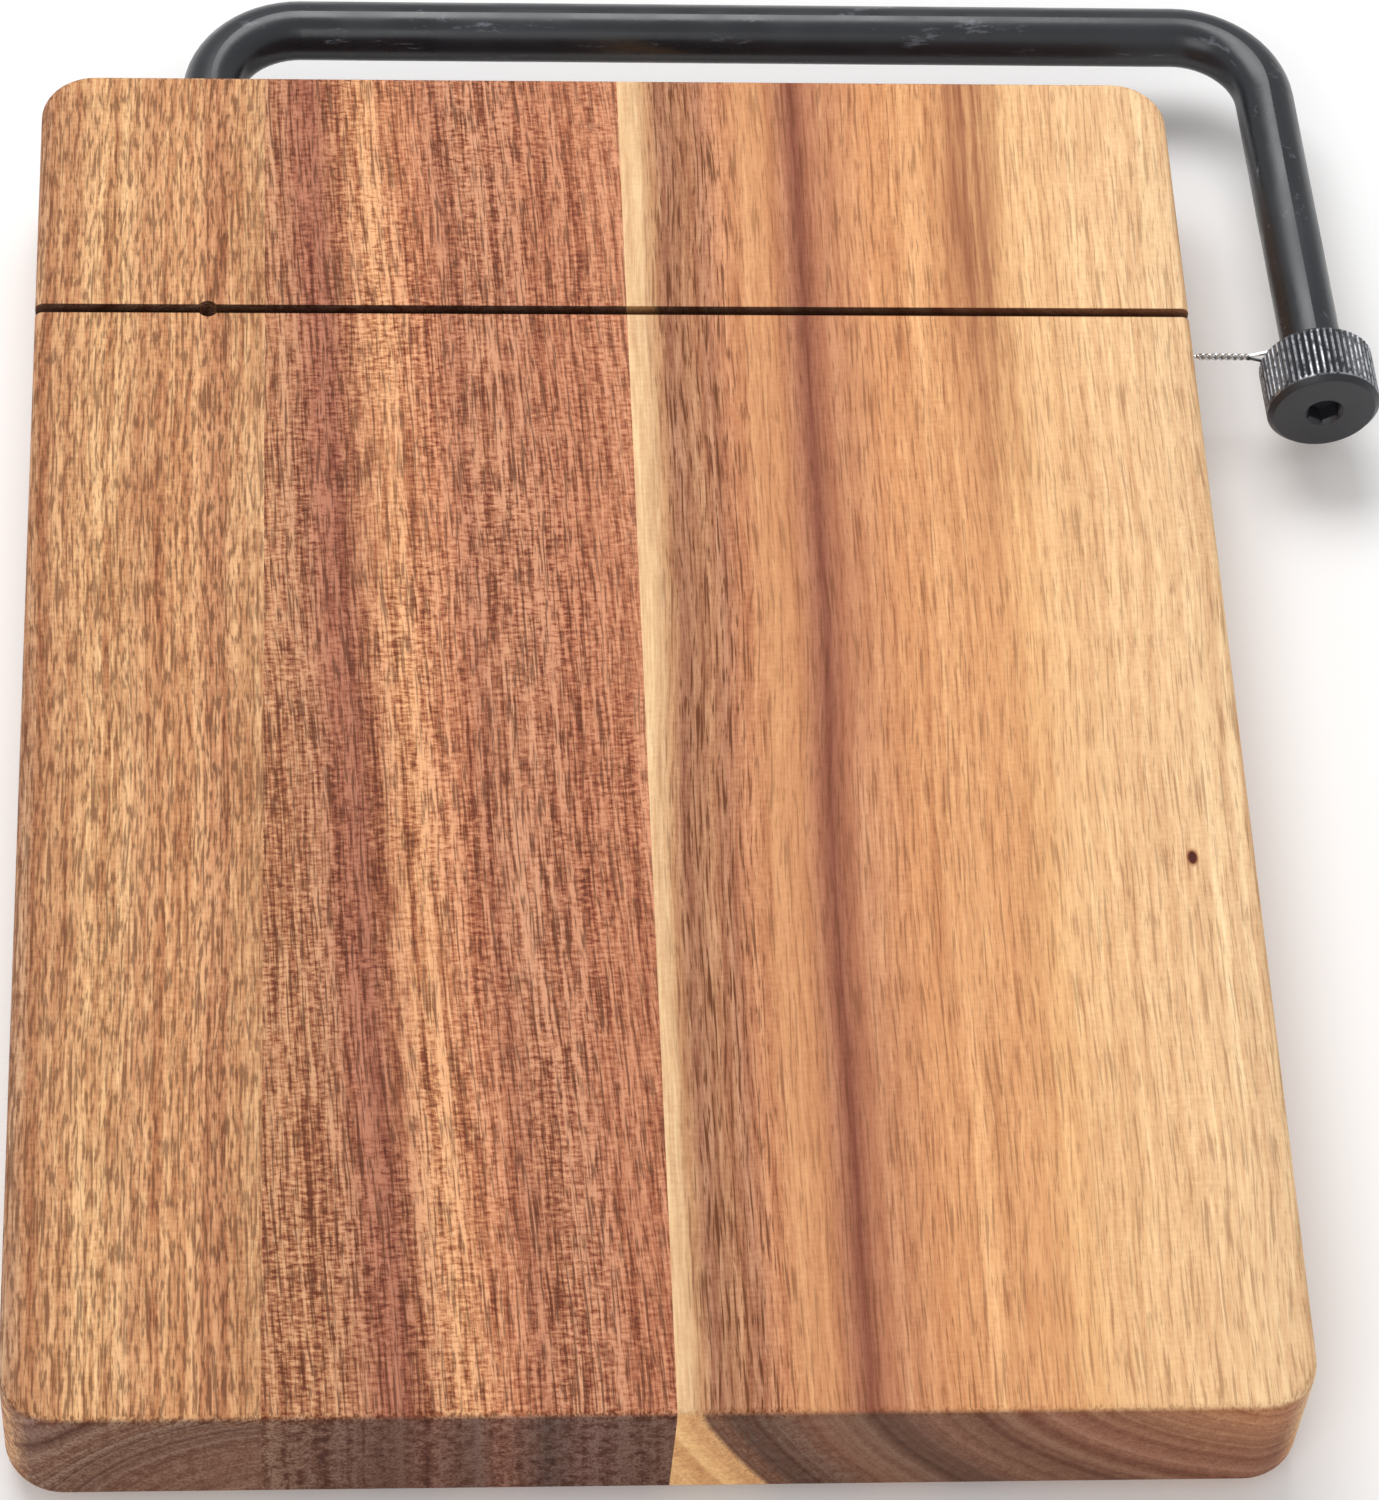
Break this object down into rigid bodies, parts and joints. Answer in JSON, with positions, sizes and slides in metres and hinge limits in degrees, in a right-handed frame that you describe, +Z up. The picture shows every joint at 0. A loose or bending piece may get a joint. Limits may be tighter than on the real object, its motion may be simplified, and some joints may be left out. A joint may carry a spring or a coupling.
{
  "type": "cheese wire cutter",
  "caption": "Rectangular wooden cheese board with a narrow groove across it and a bent rod handle, hinged at the back edge, that swings a clamped wire down into the groove.",
  "frame": {"origin": "centre of the board's top face, the cutting surface", "axes": "+Z up, +Y towards the edge that the handle is hinged in, +X towards the side that the handle's arm lies beside when it is down"},
  "size_m": [0.1756, 0.2201, 0.021],
  "materials": {
    "acacia_tan": "oiled, tan stave",
    "acacia_brown": "oiled, red-brown stave",
    "acacia_honey": "oiled, honey stave",
    "black_coated_rod": "satin black coating on steel",
    "stainless_wire": "drawn stainless wire",
    "stainless_bead": "crimped stainless bead",
    "zinc_washer": "zinc-plated washer",
    "black_knob": "black-oxide knob, bright on its knurls",
    "black_stud": "black-oxide stud",
    "foot_rubber": "matt black rubber",
    "zinc_screw": "zinc-plated screw"
  },
  "bodies": {
    "board": {"stave_left": "acacia_tan", "stave_middle": "acacia_brown", "stave_right": "acacia_honey", "foot_front_left": "foot_rubber", "foot_front_right": "foot_rubber", "foot_back_left": "foot_rubber", "foot_back_right": "foot_rubber", "foot_screw_front_left": "zinc_screw", "foot_screw_front_right": "zinc_screw", "foot_screw_back_left": "zinc_screw", "foot_screw_back_right": "zinc_screw"},
    "handle": {"handle_rod": "black_coated_rod", "cutting_wire": "stainless_wire", "wire_bead": "stainless_bead"},
    "clamp": {"clamp_washer": "zinc_washer"},
    "knob": {"tension_knob": "black_knob", "clamp_stud": "black_stud"}
  },
  "joints": [
    {"name": "handle_swing", "type": "hinge", "parent": "board", "child": "handle", "pos_m": [-0.0528, 0.06, -0.009], "axis": [0, -1, 0], "range_deg": [0, 180]},
    {"name": "clamp_slide", "type": "slide", "parent": "handle", "child": "clamp", "axis": [0.0426, -0.9991, 0], "range_m": [0, 0.0024]},
    {"name": "knob_turn", "type": "hinge", "parent": "clamp", "child": "knob", "pos_m": [0.09277, 0.06, -0.009], "axis": [0.0426, -0.9991, 0], "range_deg": [0, 1080]}
  ],
  "couplings": [
    {"joint": "clamp_slide", "follows": "knob_turn", "m_per_rad": 0.00012732}
  ]
}
